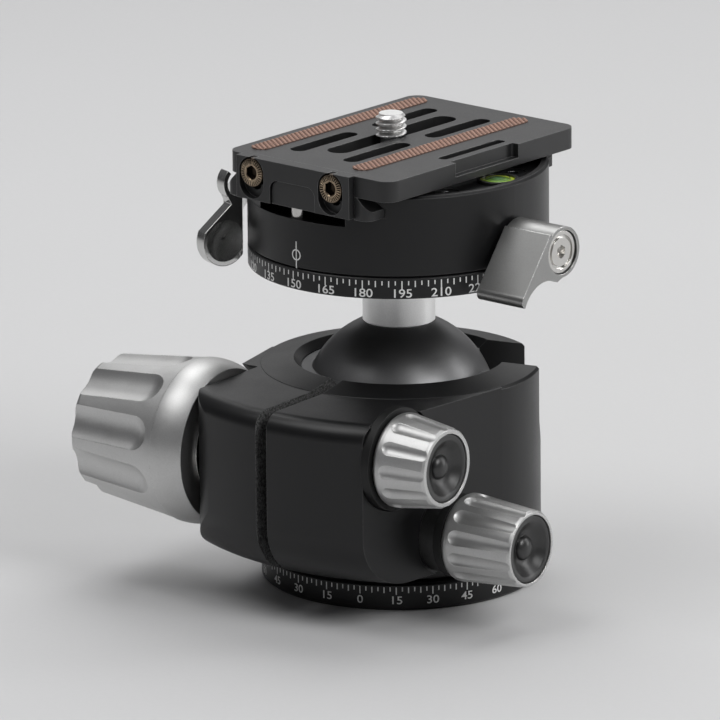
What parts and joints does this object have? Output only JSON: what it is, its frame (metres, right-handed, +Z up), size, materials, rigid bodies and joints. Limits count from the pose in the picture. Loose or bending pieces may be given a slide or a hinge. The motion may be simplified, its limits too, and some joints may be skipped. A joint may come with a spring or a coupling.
{
  "type": "tripod ball head",
  "caption": "Tripod ball head with panning base, split housing with side knobs, ball and stem, panning clamp with scale and release lever, and sliding dovetail camera plate.",
  "frame": {"origin": "middle of the base's underside, on the pan axis, at the mouth of the tripod thread", "axes": "+Z up along the tripod thread, the ball's axis and both pan axes at rest; +Y along the camera plate's long sides, away from its stop bar; +X across the plate, toward the pan lever"},
  "size_m": [0.1002, 0.0803, 0.0976],
  "materials": {
    "black": "satin black anodised",
    "plate_black": "fine matte black anodised",
    "silver": "bead blasted, silver-grey",
    "lever": "polished edges, silver",
    "collar": "satin grey",
    "liner": "satin grey",
    "ball": "dark grey hard anodised, satin",
    "steel": "turned",
    "dark_steel": "blackened",
    "bronze": "bronze tone, serrated",
    "brass": "plain",
    "cup": "acetal",
    "rubber": "matte",
    "brown_rubber": "brown, diamond pattern",
    "black_plastic": "matte",
    "level_cup": "yellow-green",
    "vial": "clear, green-yellow fluid",
    "bubble": "clear"
  },
  "bodies": {
    "base": {"base_disc": "black", "base_bush": "steel", "base_pad": "rubber", "pan_retainer": "steel", "retainer_screws": "dark_steel"},
    "housing": {"housing": "black", "lower_cup": "cup", "ball_liner": "liner", "pan_pad": "brass", "pan_collar": "collar", "main_washer": "steel"},
    "main_knob": {"main_knob": "silver", "main_cap": "black", "main_stud": "steel"},
    "friction_knob": {"friction_knob": "silver", "friction_cap": "black", "friction_screw": "steel", "friction_ring": "black_plastic"},
    "pan_knob": {"pan_knob": "silver", "pan_cap": "black", "pan_screw": "steel", "pan_ring": "black_plastic"},
    "ball": {"ball": "ball"},
    "stem": {"stem": "silver", "stem_bolt": "dark_steel", "scale_ring": "black", "spindle_keeper": "steel"},
    "clamp": {"clamp_body": "black", "jaw_screws": "dark_steel", "bubble_cup": "level_cup", "bubble_vial": "vial", "bubble": "bubble", "lock_pad": "brass"},
    "safety_pin": {"safety_pin": "steel"},
    "moving_jaw": {"moving_jaw": "black", "jaw_lip": "black", "release_pin": "dark_steel"},
    "release_lever": {"release_lever": "lever"},
    "pan_lever": {"pan_lever": "silver", "lever_stud": "steel", "lever_screw": "steel"},
    "plate": {"plate": "plate_black", "dovetail": "plate_black", "plate_door": "plate_black", "strip_left": "brown_rubber", "strip_right": "brown_rubber", "bar_screws": "bronze"},
    "stop_bar": {"stop_bar": "plate_black"},
    "screw_clip": {"screw_clip": "dark_steel"},
    "camera_screw": {"camera_screw": "steel"}
  },
  "joints": [
    {"name": "base_pan", "type": "hinge", "parent": "base", "child": "housing", "pos_m": [0, 0, 0.0075], "axis": [0, 0, 1], "continuous": true},
    {"name": "main_knob_turn", "type": "hinge", "parent": "housing", "child": "main_knob", "pos_m": [-0.01989, -0.03158, 0.0306], "axis": [-0.9972, -0.075, 0], "range_deg": [-30, 330]},
    {"name": "friction_knob_turn", "type": "hinge", "parent": "housing", "child": "friction_knob", "pos_m": [0.02765, -0.03302, 0.03645], "axis": [0.9972, 0.075, 0], "range_deg": [-30, 330]},
    {"name": "pan_knob_turn", "type": "hinge", "parent": "housing", "child": "pan_knob", "pos_m": [0.03266, -0.0183, 0.0177], "axis": [0.9972, 0.075, 0], "range_deg": [-30, 330]},
    {"name": "ball_tilt", "type": "hinge", "parent": "housing", "child": "ball", "pos_m": [0, 0, 0.03547], "axis": [-0.7581, 0.6521, 0], "range_deg": [-15, 90]},
    {"name": "ball_turn", "type": "hinge", "parent": "ball", "child": "stem", "pos_m": [0, 0, 0.03547], "axis": [0, 0, 1], "continuous": true},
    {"name": "top_pan", "type": "hinge", "parent": "stem", "child": "clamp", "pos_m": [0, 0, 0.075], "axis": [0, 0, 1], "continuous": true},
    {"name": "pan_lever_turn", "type": "hinge", "parent": "clamp", "child": "pan_lever", "pos_m": [0.038, -0.0004, 0.0757], "axis": [1, 0, 0], "range_deg": [-35, 60]},
    {"name": "safety_pin_press", "type": "slide", "parent": "clamp", "child": "safety_pin", "axis": [0, 0, -1], "range_m": [0, 0.0026], "stiffness_N_per_m": 200, "springref_m": -0.002},
    {"name": "release_turn", "type": "hinge", "parent": "moving_jaw", "child": "release_lever", "pos_m": [-0.0278, 0.0093, 0.0844], "axis": [0, 0, -1], "range_deg": [0, 100]},
    {"name": "jaw_slide", "type": "slide", "parent": "clamp", "child": "moving_jaw", "axis": [-1, 0, 0], "range_m": [0, 0.0032]},
    {"name": "plate_slide", "type": "slide", "parent": "clamp", "child": "plate", "axis": [0, -1, 0], "range_m": [0, 0.007]},
    {"name": "stop_bar_lift", "type": "slide", "parent": "plate", "child": "stop_bar", "axis": [0, 0, 1], "range_m": [0, 0.0022]},
    {"name": "screw_slide", "type": "slide", "parent": "plate", "child": "screw_clip", "axis": [0, 1, 0], "range_m": [-0.011, 0.016]},
    {"name": "camera_screw_turn", "type": "hinge", "parent": "screw_clip", "child": "camera_screw", "pos_m": [-0.00175, 0, 0.0883], "axis": [0, 0, 1], "continuous": true}
  ],
  "couplings": [
    {"joint": "release_turn", "follows": "jaw_slide", "rad_per_m": 545}
  ]
}
